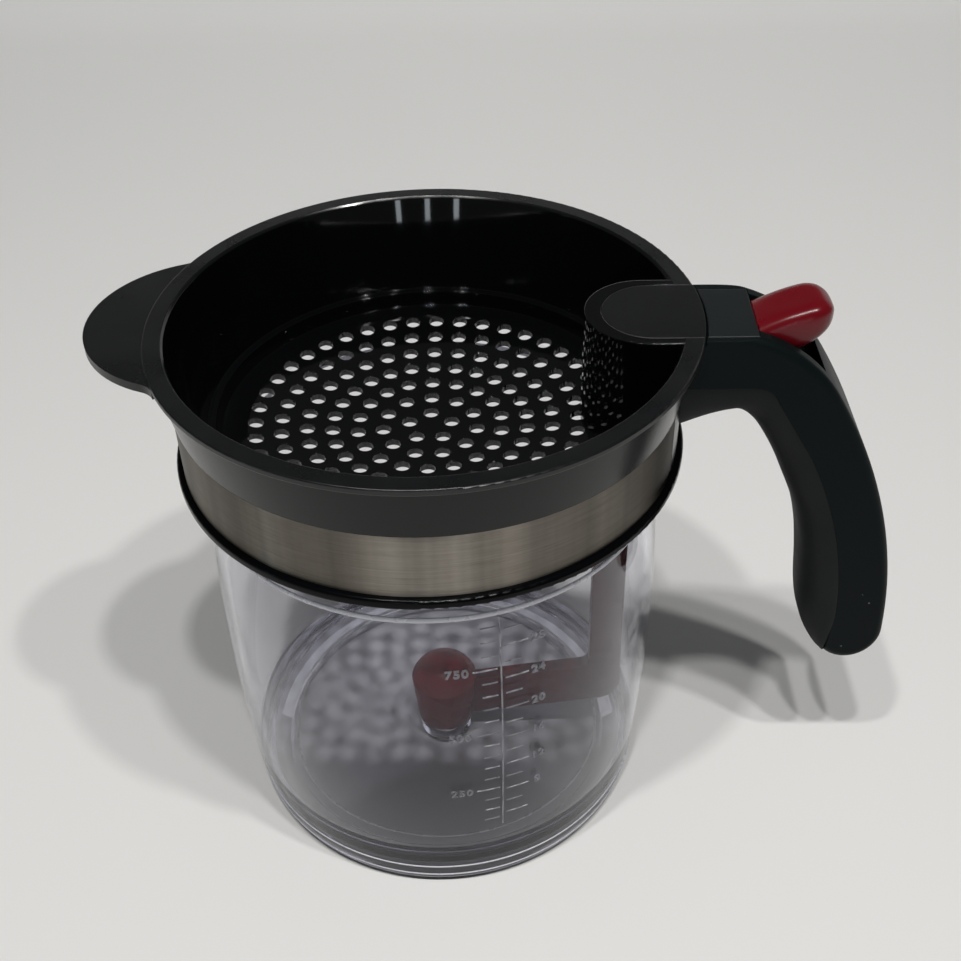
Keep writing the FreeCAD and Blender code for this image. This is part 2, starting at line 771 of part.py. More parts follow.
def trigger():
    """Thumb lever: a wide thumb piece behind the pivot and a narrow forked beam in front of it."""
    body = new_body("trigger")
    thumb = outline(body, "ThumbSide", "XZ_Plane", [
        ("pivot_across", "pivot_height + hub_radius"),
        ("rim_radius + thumb_root_out - thumb_lean", "pivot_height + hub_radius"),
        spot("thumb_root"),
        crest("thumb_rise") + crest("thumb_crown"),
        ("smooth",) + spot("thumb_tip"),
        spot("thumb_under"),
        spot("thumb_belly"),
        spot("thumb_back"),
    ])
    extrude(body, "Pad", "ThumbBody", thumb, "thumb_width", symmetric=True)
    half = number("thumb_width / 2")
    front = number("rim_radius + thumb_root_out - thumb_lean")
    round_off(body, "ThumbRound", "thumb_round",
              lambda edge: on_side(edge, half) and edge.BoundBox.XMin > front - 0.01)
    relief = outline(body, "HubRelief", "XZ_Plane", box_points(
        "pivot_across - hub_radius", "pivot_height - hub_radius",
        "pivot_across + hub_radius", "pivot_height + 2 * hub_radius"))
    extrude(body, "Pocket", "HubReliefCut", relief, "thumb_width", symmetric=True)
    beam = outline(body, "BeamSide", "XZ_Plane", [
        ("link_across - nose_radius", "link_height", "link_across", "link_height + nose_radius"),
        ("pivot_across", "pivot_height + hub_radius"),
        ("rim_radius + thumb_back_out", "pivot_height + hub_radius"),
        spot("thumb_back"),
        ("pivot_across", "pivot_height - hub_radius"),
        ("link_across", "link_height - nose_radius"),
    ])
    extrude(body, "Pad", "BeamBody", beam, "beam_width", symmetric=True)
    fork = outline(body, "ForkSide", "XZ_Plane", box_points(
        "strap_inner - nose_radius", "link_height - hub_radius - nose_radius",
        "link_across + fork_reach", "pivot_height + hub_radius"))
    extrude(body, "Pocket", "ForkCut", fork, "arm_thick + 2 * fork_gap", symmetric=True)
    bore = circle(body, "TriggerBore", "XZ_Plane", "pivot_across", "pivot_height", "pivot_radius + pin_fit")
    extrude(body, "Pocket", "TriggerBoreCut", bore, "thumb_width", symmetric=True)
    eye = circle(body, "LinkEye", "XZ_Plane", "link_across", "link_height", "link_radius")
    extrude(body, "Pocket", "LinkEyeCut", eye, "thumb_width", symmetric=True)
    return body


def pin(label, across, up, radius, length):
    """Round pin along Y."""
    body = new_body(label)
    section = circle(body, label + "_section", "XZ_Plane", across, up, radius)
    extrude(body, "Pad", label + "_body", section, length, symmetric=True)
    return body


def pivot_pin():
    return pin("pivot_pin", "pivot_across", "pivot_height", "pivot_radius", "pivot_length")


def link_pin():
    return pin("link_pin", "link_across", "link_height", "link_radius", "link_length")


def return_spring():
    """Small coil round the pivot pin beside the lever's hub."""
    body = new_body("return_spring")
    coil = circle(body, "WireSection", "XY_Plane", "pivot_radius + spring_gap + spring_wire", "0", "spring_wire")
    helix = body.newObject("PartDesign::AdditiveHelix", "Coil")
    helix.Profile = coil
    helix.ReferenceAxis = (coil, ["V_Axis"])
    helix.Mode = "pitch-turns-angle"
    helix.setExpression("Pitch", bound("spring_pitch"))
    helix.setExpression("Turns", bound("spring_turns"))
    body.setExpression("Placement.Base.x", bound("pivot_across"))
    body.setExpression("Placement.Base.y", bound("beam_width / 2 + spring_wire + spring_gap"))
    body.setExpression("Placement.Base.z", bound("pivot_height"))
    return body


def lift_arm():
    """Upright strap behind the handle with a foot that reaches in to the stopper."""
    body = new_body("lift_arm")
    blade = outline(body, "ArmSide", "XZ_Plane", [
        ("strap_inner", "strap_top"),
        ("strap_inner", "elbow_height + arm_height"),
        ("-arm_tail", "elbow_height + arm_height - arm_slope * (strap_inner + arm_tail)"),
        ("-arm_tail", "arm_bottom"),
        ("stopper_foot", "arm_bottom"),
        ("corner_across", "elbow_height"),
        ("strap_outer - arm_corner * (1 - sqrt(0.5))", "corner_height - arm_corner * sqrt(0.5)",
         "strap_outer", "corner_height"),
        ("strap_outer", "strap_top"),
    ])
    extrude(body, "Pad", "ArmBody", blade, "arm_thick", symmetric=True)
    inner = number("strap_inner")
    elbow = number("elbow_height + arm_height")
    round_off(body, "ElbowRound", "elbow_round", lambda edge: edge.BoundBox.YLength > 1 and abs(
        edge.BoundBox.XMin - inner) < 0.01 and abs(edge.BoundBox.ZMin - elbow) < 0.01)
    slot = outline(body, "LinkSlot", "XZ_Plane", [
        ("link_across + link_play + link_radius + link_slack", "link_height",
         "link_across + link_play", "link_height + link_radius + link_slack"),
        ("link_across - link_play", "link_height + link_radius + link_slack"),
        ("link_across - link_play - link_radius - link_slack", "link_height",
         "link_across - link_play", "link_height - link_radius - link_slack"),
        ("link_across + link_play", "link_height - link_radius - link_slack"),
    ])
    extrude(body, "Pocket", "LinkSlotCut", slot, "2 * arm_thick", symmetric=True)
    return body


def stopper():
    body = new_body("stopper")
    dome_rise = halfway_rise("stopper_radius", "stopper_dome")
    half = outline(body, "StopperSection", "XZ_Plane", [
        ("0", "stopper_bottom - plug_depth"),
        ("outlet_radius - plug_fit - plug_taper", "stopper_bottom - plug_depth"),
        ("outlet_radius - plug_fit", "stopper_bottom"),
        ("stopper_foot", "stopper_bottom"),
        ("stopper_radius", "stopper_shoulder"),
        ("stopper_radius / 2", f"stopper_shoulder + stopper_dome - {dome_rise}",
         "0", "stopper_shoulder + stopper_dome"),
    ])
    turn(body, "Revolution", "StopperBody", half)
    bed = outline(body, "ArmBed", "XZ_Plane", [
        ("-arm_tail", "arm_bottom"),
        ("stopper_foot", "arm_bottom"),
        ("corner_across", "elbow_height"),
        ("strap_inner", "elbow_height + arm_height"),
        ("-arm_tail", "elbow_height + arm_height - arm_slope * (strap_inner + arm_tail)"),
    ])
    extrude(body, "Pocket", "ArmBedCut", bed, "arm_thick", symmetric=True)
    return body


def handle_screws():
    """The two screws that hold the handle to the collar, heads inside."""
    pieces = []
    for side in SCREW_SIDES:
        for name, start, radius, length in (
                ("Shank", "screw_seat", "screw_radius", "screw_length"),
                ("Head", "screw_seat - screw_head_thick", "screw_head", "screw_head_thick")):
            piece = doc.addObject("Part::Cylinder", f"Screw{name}")
            piece.Placement = Placement(Vector(0, 0, 0), Rotation(Vector(0, 1, 0), 90))
            piece.setExpression("Radius", bound(radius))
            piece.setExpression("Height", bound(length))
            piece.setExpression("Placement.Base.x", bound(start))
            piece.setExpression("Placement.Base.y", bound(f"{side} * screw_side"))
            piece.setExpression("Placement.Base.z", bound("rim_top - screw_drop"))
            pieces.append(piece)
    screws = doc.addObject("Part::MultiFuse", "handle_screws")
    screws.Shapes = pieces
    screws.Label = "handle_screws"
    return screws


SUBPARTS = [make() for make in (
    cup, collar, collar_lower_ring, steel_band, strainer_lid, lid_inlay_plate, handle_shell, handle_top_cap,
    handle_grip, trigger, pivot_pin, link_pin, return_spring, lift_arm, stopper, handle_screws)]
doc.recompute()

failed = [f"{thing.Name} ({thing.Label}): {thing.State}" for thing in doc.Objects
          if "Invalid" in thing.State or "Error" in thing.State]
failed += [piece.Label for piece in SUBPARTS if piece.Shape.isNull() or not piece.Shape.isValid()]
if failed:
    raise RuntimeError("not built: " + "; ".join(failed))

os.makedirs("parts", exist_ok=True)
for piece in SUBPARTS:
    piece.Shape.exportStep(f"parts/{piece.Label}.step")
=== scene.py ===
"""Looks of the gravy fat separator: clear cup, black strainer lid and handle, steel band, red lever and plug.

Metres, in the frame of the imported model: +Z up, +X towards the handle, origin under the middle of the cup.
"""
import math

import bmesh
import bpy
from mathutils import Matrix, Vector


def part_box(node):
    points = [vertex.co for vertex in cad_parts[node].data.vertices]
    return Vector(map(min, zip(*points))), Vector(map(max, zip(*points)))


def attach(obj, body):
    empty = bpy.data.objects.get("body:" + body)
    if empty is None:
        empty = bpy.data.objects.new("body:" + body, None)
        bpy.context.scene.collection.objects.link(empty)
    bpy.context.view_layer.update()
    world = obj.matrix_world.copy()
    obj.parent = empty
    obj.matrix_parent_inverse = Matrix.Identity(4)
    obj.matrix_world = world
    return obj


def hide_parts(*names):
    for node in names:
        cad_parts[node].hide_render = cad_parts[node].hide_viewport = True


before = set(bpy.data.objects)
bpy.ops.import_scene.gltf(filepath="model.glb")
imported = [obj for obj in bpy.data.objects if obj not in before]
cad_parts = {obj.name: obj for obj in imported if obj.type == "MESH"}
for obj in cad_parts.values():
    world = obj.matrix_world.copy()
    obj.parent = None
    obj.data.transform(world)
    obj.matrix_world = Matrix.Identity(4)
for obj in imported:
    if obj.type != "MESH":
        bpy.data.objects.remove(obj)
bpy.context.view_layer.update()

MM = 0.001

# places on the plain model that the materials and the added pieces follow
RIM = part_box("strainer_lid")[1][1]
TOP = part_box("strainer_lid")[1][2]
LIP_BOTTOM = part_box("collar_lower_ring")[0][2]
TAIL_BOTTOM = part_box("handle_shell")[0][2]


# ---------------------------------------------------------------- node helpers
def with_alpha(colour):
    """A colour of three numbers as an opaque one; another node's output as it is."""
    return colour if isinstance(colour, bpy.types.NodeSocket) else (*colour, 1)


class Maker:
    """A material under construction: short calls that add nodes and link them."""

    def __init__(self, name):
        self.material = bpy.data.materials.new(name)
        self.material.use_nodes = True
        self.tree = self.material.node_tree
        self.shader = next(node for node in self.tree.nodes if node.type == "BSDF_PRINCIPLED")
        self.output = next(node for node in self.tree.nodes if node.type == "OUTPUT_MATERIAL")

    def set(self, **values):
        """Constant values on the shader's own sockets: spaces in socket names are underscores."""
        for name, value in values.items():
            self.shader.inputs[name.replace("_", " ")].default_value = value

    def add(self, kind, **values):
        node = self.tree.nodes.new("ShaderNode" + kind)
        for name, value in values.items():
            setattr(node, name, value)
        return node

    def feed(self, node, **values):
        """Fill a node's inputs, by name or as _number, with numbers or with other nodes' outputs."""
        for name, value in values.items():
            socket = node.inputs[int(name[1:])] if name[0] == "_" else node.inputs[name.replace("_", " ")]
            if isinstance(value, bpy.types.NodeSocket):
                self.tree.links.new(value, socket)
            else:
                socket.default_value = value
        return node

    def link(self, output, name):
        self.tree.links.new(output, self.shader.inputs[name])

    def math(self, operation, first, second=0.0):
        return self.feed(self.add("Math", operation=operation), _0=first, _1=second).outputs[0]

    def place(self):
        """The point in the row frame, in metres."""
        return self.add("TexCoord").outputs["Object"]

    def axes(self):
        """The point's X, Y and Z."""
        split = self.feed(self.add("SeparateXYZ"), Vector=self.place())
        return split.outputs[0], split.outputs[1], split.outputs[2]

    def vector(self, first, second, third):
        return self.feed(self.add("CombineXYZ"), X=first, Y=second, Z=third).outputs[0]

    def noise(self, scale, detail=3.0, roughness=0.5, vector=None):
        where = vector if vector is not None else self.place()
        node = self.feed(self.add("TexNoise"), Scale=scale, Detail=detail, Roughness=roughness, Vector=where)
        return node.outputs["Fac"]

    def span(self, value, low, high, out_low, out_high):
        """`value` carried from the range low to high onto out_low to out_high, held at its ends."""
        node = self.feed(self.add("MapRange"), Value=value, _1=low, _2=high, _3=out_low, _4=out_high)
        return node.outputs[0]

    def mix(self, factor, first, second):
        return self.feed(self.add("Mix"), _0=factor, _2=first, _3=second).outputs[0]

    def mix_colour(self, factor, first, second):
        node = self.add("Mix", data_type="RGBA")
        return self.feed(node, _0=factor, _6=with_alpha(first), _7=with_alpha(second)).outputs[2]

    def bump(self, height, distance, strength, below=None):
        node = self.feed(self.add("Bump"), Height=height, Distance=distance, Strength=strength)
        if below is not None:
            self.feed(node, Normal=below)
        return node.outputs["Normal"]

    def soft_edge(self, radius):
        """Normals rounded over `radius`, so that a moulded edge catches a highlight."""
        return self.feed(self.add("Bevel", samples=6), Radius=radius).outputs["Normal"]


# ---------------------------------------------------------------- materials
# the lid's plastic turns from polished to satin outside these radii and above these heights
SATIN_RADII = (64.0 * MM, 64.9 * MM)
SATIN_HEIGHTS = (152.0 * MM, 152.2 * MM)


def moulded_plastic(name, colour, roughness, grain, gloss):
    """Opaque moulded plastic with a fine spark-eroded grain and a faint drift of tone."""
    tone = 0.25
    maker = Maker(name)
    maker.set(IOR=1.5, Specular_IOR_Level=gloss)
    darker = [channel * (1 - tone) for channel in colour]
    lighter = [channel * (1 + tone) for channel in colour]
    maker.link(maker.mix_colour(maker.noise(38, 4), darker, lighter), "Base Color")
    smudge = maker.noise(90, 5, 0.6)
    maker.link(maker.span(smudge, 0.25, 0.75, roughness * 0.88, roughness * 1.12), "Roughness")
    maker.link(maker.bump(maker.noise(2600, 2), grain, 0.6, maker.soft_edge(0.35 * MM)), "Normal")
    return maker.material


def speckled_plastic(name, gloss):
    """Handle plastic: dark green-grey, satin, with a fine grain and a few pale specks of dust."""
    maker = Maker(name)
    maker.set(IOR=1.5, Specular_IOR_Level=gloss)
    dust = maker.feed(maker.add("TexVoronoi", feature="F1"), Scale=160, Vector=maker.place())
    speck = maker.math("LESS_THAN", dust.outputs["Distance"], 0.05)
    rare = maker.math("GREATER_THAN", maker.noise(70, 2), 0.6)
    speck = maker.math("MULTIPLY", speck, rare)
    drift = maker.mix_colour(maker.noise(30, 4), (0.0028, 0.0050, 0.0055), (0.0045, 0.0075, 0.0080))
    maker.link(maker.mix_colour(speck, drift, (0.11, 0.12, 0.12)), "Base Color")
    maker.link(maker.span(maker.noise(85, 5, 0.6), 0.25, 0.75, 0.36, 0.46), "Roughness")
    maker.link(maker.bump(maker.noise(2400, 2), 0.03 * MM, 0.55, maker.soft_edge(0.5 * MM)), "Normal")
    return maker.material


def soft_grip():
    """Overmoulded soft grip: more neutral and duller than the shell."""
    maker = Maker("soft_grip_look")
    maker.set(IOR=1.45, Specular_IOR_Level=0.2)
    drift = maker.mix_colour(maker.noise(28, 4), (0.0030, 0.0042, 0.0046), (0.0050, 0.0065, 0.0070))
    maker.link(drift, "Base Color")
    maker.link(maker.span(maker.noise(70, 4), 0.25, 0.75, 0.50, 0.62), "Roughness")
    maker.link(maker.bump(maker.noise(3000, 2), 0.035 * MM, 0.7, maker.soft_edge(0.8 * MM)), "Normal")
    return maker.material


def lid_plastic():
    """Strainer lid: satin on the rim's upper part and the tab, polished in the basin and below."""
    maker = Maker("lid_plastic_look")
    maker.set(IOR=1.52, Specular_IOR_Level=0.45)
    across, side, up = maker.axes()
    squares = maker.math("ADD", maker.math("MULTIPLY", across, across), maker.math("MULTIPLY", side, side))
    outer = maker.span(maker.math("SQRT", squares), *SATIN_RADII, 0, 1)
    high = maker.span(up, *SATIN_HEIGHTS, 0, 1)
    satin = maker.math("MULTIPLY", outer, high)
    smudge = maker.span(maker.noise(60, 5, 0.6), 0.3, 0.7, 0.8, 1.25)
    polished_roughness = maker.math("MULTIPLY", smudge, 0.045)
    satin_roughness = maker.math("MULTIPLY", smudge, 0.30)
    maker.link(maker.mix(satin, polished_roughness, satin_roughness), "Roughness")
    drift = maker.noise(25, 3)
    polished_black = maker.mix_colour(drift, (0.0012, 0.0014, 0.0016), (0.0020, 0.0022, 0.0025))
    satin_black = maker.mix_colour(drift, (0.0030, 0.0034, 0.0038), (0.0045, 0.0050, 0.0055))
    maker.link(maker.mix_colour(satin, polished_black, satin_black), "Base Color")
    grain = maker.math("MULTIPLY", maker.noise(2400, 2), satin)
    ripple = maker.math("MULTIPLY", maker.noise(24, 1), 0.4)
    height = maker.math("ADD", grain, ripple)
    maker.link(maker.bump(height, 0.02 * MM, 0.7, maker.soft_edge(0.3 * MM)), "Normal")
    return maker.material


def brushed_steel():
    """Steel band brushed round its length: hairlines and longer streaks, with painted reflections as darker
    and lighter upright zones round the band.
    """
    maker = Maker("brushed_band_look")
    maker.set(Metallic=1.0, Anisotropic=1.0, Anisotropic_Rotation=0.25)
    maker.link(maker.add("Tangent", direction_type="RADIAL", axis="Z").outputs[0], "Tangent")
    across, side, up = maker.axes()
    angle = maker.math("ARCTAN2", side, across)

    def round_noise(changes, height, layer, detail, roughness):
        """Noise with a few changes for each radian round the band, at a height and a layer of its pattern."""
        where = maker.vector(maker.math("MULTIPLY", angle, changes), height, layer)
        return maker.noise(1.0, detail, roughness, where)

    hairs = round_noise(1.6, maker.math("MULTIPLY", up, 2600.0), 0.0, 6, 0.7)
    streaks = round_noise(7.0, maker.math("MULTIPLY", up, 700.0), 3.0, 4, 0.6)
    # painted reflections: upright zones round the band, some darkened as if they mirrored darker surroundings
    painted_reflection_zones = maker.span(round_noise(5.0, 2.0, 0.0, 3, 0.6), 0.36, 0.66, 0, 1)
    colour = maker.mix_colour(maker.span(hairs, 0.3, 0.7, 0, 1), (0.19, 0.168, 0.138), (0.30, 0.272, 0.232))
    colour = maker.mix_colour(maker.span(streaks, 0.35, 0.75, 0, 0.35), colour, (0.36, 0.335, 0.30))
    painted_dark_reflection = maker.mix_colour(0.42, colour, (0.03, 0.028, 0.025))
    maker.link(maker.mix_colour(painted_reflection_zones, painted_dark_reflection, colour), "Base Color")
    maker.link(maker.span(hairs, 0.3, 0.7, 0.34, 0.40), "Roughness")
    maker.link(maker.bump(hairs, 0.02 * MM, 0.5), "Normal")
    return maker.material


def clear_plastic():
    """Clear moulded plastic: shows its thickness as a lilac tint, and lets light through to the floor."""
    maker = Maker("cup_look")
    maker.set(Base_Color=(0.985, 0.985, 0.992, 1), IOR=1.5, Transmission_Weight=1.0,
              Specular_Tint=(0.30, 0.30, 0.36, 1))
    maker.link(maker.bump(maker.noise(24, 2), 0.05 * MM, 0.5), "Normal")
    maker.link(maker.span(maker.noise(150, 3), 0.3, 0.8, 0.012, 0.03), "Roughness")
    absorb = maker.feed(maker.add("VolumeAbsorption"), Color=(0.74, 0.74, 0.97, 1), Density=36.0)
    maker.tree.links.new(absorb.outputs[0], maker.output.inputs["Volume"])
    mirror = maker.feed(maker.add("Fresnel"), IOR=1.5).outputs[0]
    passed = maker.mix_colour(mirror, (0.96, 0.96, 0.975), (0.0, 0.0, 0.0))
    through = maker.feed(maker.add("BsdfTransparent"), Color=passed)
    path = maker.add("LightPath")
    straight = maker.math("MAXIMUM", path.outputs["Is Shadow Ray"], path.outputs["Is Diffuse Ray"])
    surface = maker.add("MixShader")
    maker.feed(surface, _0=straight, _1=maker.shader.outputs[0], _2=through.outputs[0])
    maker.tree.links.new(surface.outputs[0], maker.output.inputs["Surface"])
    return maker.material


def frosted_plastic():
    """The raised scale: the cup's plastic with a fine matte surface, so that it shows pale."""
    maker = Maker("scale_look")
    maker.set(IOR=1.5, Transmission_Weight=0.9, Specular_Tint=(0.6, 0.6, 0.66, 1))
    maker.link(maker.mix_colour(maker.noise(900, 3), (0.62, 0.62, 0.66), (0.76, 0.76, 0.80)), "Base Color")
    maker.link(maker.span(maker.noise(1500, 3), 0.3, 0.7, 0.25, 0.42), "Roughness")
    return maker.material


def cloudy_plastic():
    """The beads round the cup: pale lilac plastic that paints the highlight lines on the cup's floor, foot
    and shoulder.
    """
    maker = Maker("painted_highlight_bead_look")
    maker.set(IOR=1.5, Transmission_Weight=0.25)
    maker.link(maker.mix_colour(maker.noise(40, 3), (0.72, 0.72, 0.80), (0.90, 0.90, 0.95)), "Base Color")
    maker.link(maker.span(maker.noise(200, 3), 0.3, 0.7, 0.20, 0.34), "Roughness")
    return maker.material


def red_plastic(name, dark, light, roughness, translucent, gloss):
    """Red plastic with a drift of tone, a soft ripple and rounded edges, lit a little from inside."""
    maker = Maker(name)
    maker.set(IOR=1.5, Specular_IOR_Level=gloss, Subsurface_Weight=translucent,
              Subsurface_Radius=(0.004, 0.0006, 0.0004), Subsurface_Scale=1.0)
    maker.link(maker.mix_colour(maker.noise(45, 4), dark, light), "Base Color")
    maker.link(maker.span(maker.noise(110, 4), 0.3, 0.7, roughness * 0.85, roughness * 1.2), "Roughness")
    maker.link(maker.bump(maker.noise(60, 3), 0.015 * MM, 0.5, maker.soft_edge(0.5 * MM)), "Normal")
    return maker.material


def ground_steel():
    """Pins, screws and spring: bright steel with grinding lines."""
    maker = Maker("pin_steel_look")
    maker.set(Metallic=1.0)
    stretched = maker.feed(maker.add("Mapping"), Vector=maker.place(), Scale=(1, 0.02, 1)).outputs[0]
    lines = maker.noise(5000, 3, 0.6, stretched)
    maker.link(maker.mix_colour(lines, (0.5, 0.5, 0.52), (0.68, 0.68, 0.7)), "Base Color")
    maker.link(maker.span(lines, 0.3, 0.7, 0.25, 0.4), "Roughness")
    return maker.material


# ---------------------------------------------------------------- mesh helpers
STATION_STEPS = 6


def loft(builder, rings, closed=False):
    """Skin rings of equal length, with a face at both ends, or with the last ring joined to the first."""
    loops = [[builder.verts.new(point) for point in ring] for ring in rings]
    followers = loops[1:] + loops[:1] if closed else loops[1:]
    count = len(rings[0])
    for before, after in zip(loops, followers):
        for place in range(count):
            following = (place + 1) % count
            builder.faces.new((before[place], before[following], after[following], after[place]))
    if not closed:
        builder.faces.new(loops[0])
        builder.faces.new(loops[-1])


def mesh_from(builder, name):
    """The finished mesh, with its faces turned outwards."""
    bmesh.ops.recalc_face_normals(builder, faces=builder.faces)
    mesh = bpy.data.meshes.new(name)
    builder.to_mesh(mesh)
    builder.free()
    return mesh


def new_object(name, data):
    """A new object in the scene from a mesh, a curve, a lamp or a camera."""
    obj = bpy.data.objects.new(name, data)
    bpy.context.scene.collection.objects.link(obj)
    return obj


def finish_piece(obj, material, body):
    """Give an added piece its material, the body it rides on and its colour slot."""
    obj.data.materials.clear()
    obj.data.materials.append(material)
    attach(obj, body)


def on_curve(a, b, c, d, t):
    """A number on the smooth curve from b (at t = 0) to c (at t = 1), which comes from a and goes on to d."""
    return 0.5 * (2 * b + (c - a) * t
                  + (2 * a - 5 * b + 4 * c - d) * t * t
                  + (3 * b - a - 3 * c + d) * t ** 3)


def smooth_path(rows):
    """Rows of numbers joined by smooth curves, with STATION_STEPS rows for each stretch."""
    ahead = [2 * a - b for a, b in zip(rows[0], rows[1])]
    beyond = [2 * a - b for a, b in zip(rows[-1], rows[-2])]
    ends = [ahead, *rows, beyond]
    path = []
    for stretch in zip(ends, ends[1:], ends[2:], ends[3:]):
        for step in range(STATION_STEPS):
            path.append([on_curve(*numbers, step / STATION_STEPS) for numbers in zip(*stretch)])
    path.append(rows[-1])
    return path


def squarish(turn, power):
    """A point of a superellipse: a circle at power 2, squarer above it."""
    across = math.copysign(abs(math.cos(turn)) ** (2 / power), math.cos(turn))
    up = math.copysign(abs(math.sin(turn)) ** (2 / power), math.sin(turn))
    return across, up


# ---------------------------------------------------------------- moulded scale of the cup, and beads that carry painted highlights
# outside of the barrel, in millimetres: radius and height at the heel, the belly and the shoulder
WALL_ARC = ((58.9, 3.2), (62.2, 60.0), (59.9, 112.0))

SCALE_ANGLE = math.radians(-72.6)
SCALE_LOW = 27.5 * MM
SCALE_HIGH = 107.0 * MM
OUNCE_PITCH = 2.72 * MM
OUNCE_EIGHT = 43.4 * MM
OUNCE_MILLILITRES = 29.57
TICK_OUNCES = range(4, 31, 2)
TICK_VOLUMES = range(100, 901, 50)
NUMBERED_OUNCES = (8, 12, 16, 20, 24, 28)
NUMBERED_VOLUMES = (250, 500, 750)
LONG_TICK = 6.2 * MM
SHORT_OUNCE_TICK = 4.4 * MM
SHORT_VOLUME_TICK = 4.0 * MM
TICK_GAP = 1.0 * MM
MARK_HALF = 0.22 * MM
MARK_RAISE = 0.17 * MM
MARK_SINK = 0.03 * MM
BEND_STEP = 1.5 * MM
UPRIGHT_STEPS = 60
NUMERAL_SIZE = 3.6 * MM
NUMERAL_DEPTH = 0.12 * MM
NUMERAL_SPREAD = 0.05 * MM
NUMERAL_BEVEL = 0.06 * MM
NUMERAL_LIFT = 0.10 * MM
OUNCE_NUMERAL = 9.8 * MM
VOLUME_NUMERAL = -11.2 * MM

BEAD_TURNS = 160
BEAD_POINTS = 7
BEAD_SINK = 0.1
# raised rings that carry painted highlight lines: on the floor, round the foot and under the lip
FLOOR_RING = (47.6 * MM, 8.6 * MM)
FOOT_HEIGHTS = (3.9 * MM, 8.2 * MM)
SHOULDER = LIP_BOTTOM - 9.5 * MM


def wall_radius(height):
    """Outside radius of the cup's barrel at a height, on the circle through the points of WALL_ARC."""
    a, b, c = (Vector(point) for point in WALL_ARC)
    det = 2 * ((b - a).x * (c - a).y - (b - a).y * (c - a).x)
    ab = (b - a).length_squared
    ac = (c - a).length_squared
    centre = Vector((((c - a).y * ab - (b - a).y * ac) / det, ((b - a).x * ac - (c - a).x * ab) / det)) + a
    rise = height / MM - centre.y
    return (centre.x + math.sqrt((a - centre).length_squared - rise * rise)) * MM


def wrap(obj, angle, height):
    """Bend a flat mesh (x along the wall, y up, z outwards) onto the cup at an angle and height."""
    for vertex in obj.data.vertices:
        up = height + vertex.co.y
        radius = wall_radius(up)
        turn = angle + vertex.co.x / radius
        out = radius + vertex.co.z
        vertex.co = Vector((out * math.cos(turn), out * math.sin(turn), up))
    obj.data.update()


def level(ounces):
    """Height above the table of a volume on the scale."""
    return OUNCE_EIGHT + (ounces - 8) * OUNCE_PITCH


def tick(builder, left, right, height):
    """A raised bar with a rounded top, cut into short lengths so that it can bend."""
    steps = int((right - left) / BEND_STEP)
    section = ((-MARK_HALF, -MARK_SINK), (-MARK_HALF * 0.75, MARK_RAISE * 0.8), (0, MARK_RAISE),
               (MARK_HALF * 0.75, MARK_RAISE * 0.8), (MARK_HALF, -MARK_SINK))
    stops = [left + (right - left) * step / steps for step in range(steps + 1)]
    loft(builder, [[(stop, height + y, z) for y, z in section] for stop in stops])


def upright_line(builder, low, high):
    """The raised line that the marks stand on both sides of."""
    section = ((-MARK_HALF, -MARK_SINK), (-MARK_HALF * 0.6, MARK_RAISE), (MARK_HALF * 0.6, MARK_RAISE),
               (MARK_HALF, -MARK_SINK))
    stops = [low + (high - low) * step / UPRIGHT_STEPS for step in range(UPRIGHT_STEPS + 1)]
    loft(builder, [[(x, stop, z) for x, z in section] for stop in stops])


def scale_marks(material):
    """The upright line, with a mark for each 2 fluid ounces on its right and each 50 ml on its left."""
    middle = (SCALE_LOW + SCALE_HIGH) / 2
    builder = bmesh.new()
    upright_line(builder, SCALE_LOW - middle, SCALE_HIGH - middle)
    for ounce in TICK_OUNCES:
        length = LONG_TICK if ounce % 4 == 0 else SHORT_OUNCE_TICK
        tick(builder, TICK_GAP, TICK_GAP + length, level(ounce) - middle)
    for volume in TICK_VOLUMES:
        length = LONG_TICK if volume in NUMBERED_VOLUMES else SHORT_VOLUME_TICK
        tick(builder, -TICK_GAP - length, -TICK_GAP, level(volume / OUNCE_MILLILITRES) - middle)
    obj = new_object("scale_marks", mesh_from(builder, "scale_marks"))
    wrap(obj, SCALE_ANGLE, middle)
    finish_piece(obj, material, "base")


def numeral(number, along, height, material):
    """A raised number, `along` the wall from the scale's upright line."""
    curve = bpy.data.curves.new("numeral", "FONT")
    curve.body = str(number)
    curve.size = NUMERAL_SIZE
    curve.align_x = "CENTER"
    curve.align_y = "CENTER"
    curve.extrude = NUMERAL_DEPTH
    curve.offset = NUMERAL_SPREAD
    curve.bevel_depth = NUMERAL_BEVEL
    curve.bevel_resolution = 1
    curve.space_character = 1.15
    holder = new_object("numeral", curve)
    bpy.context.view_layer.update()
    mesh = bpy.data.meshes.new_from_object(holder)
    mesh.name = f"scale_{number}"
    bpy.data.objects.remove(holder)
    bpy.data.curves.remove(curve)
    for vertex in mesh.vertices:
        vertex.co.z += NUMERAL_LIFT
    obj = new_object(f"scale_{number}", mesh)
    wrap(obj, SCALE_ANGLE + along / wall_radius(height), height)
    finish_piece(obj, material, "base")


def scale(material):
    """The raised scale on the cup's front: its marks and its numbers."""
    scale_marks(material)
    for ounce in NUMBERED_OUNCES:
        numeral(ounce, OUNCE_NUMERAL, level(ounce), material)
    for volume in NUMBERED_VOLUMES:
        numeral(volume, VOLUME_NUMERAL, level(volume / OUNCE_MILLILITRES), material)


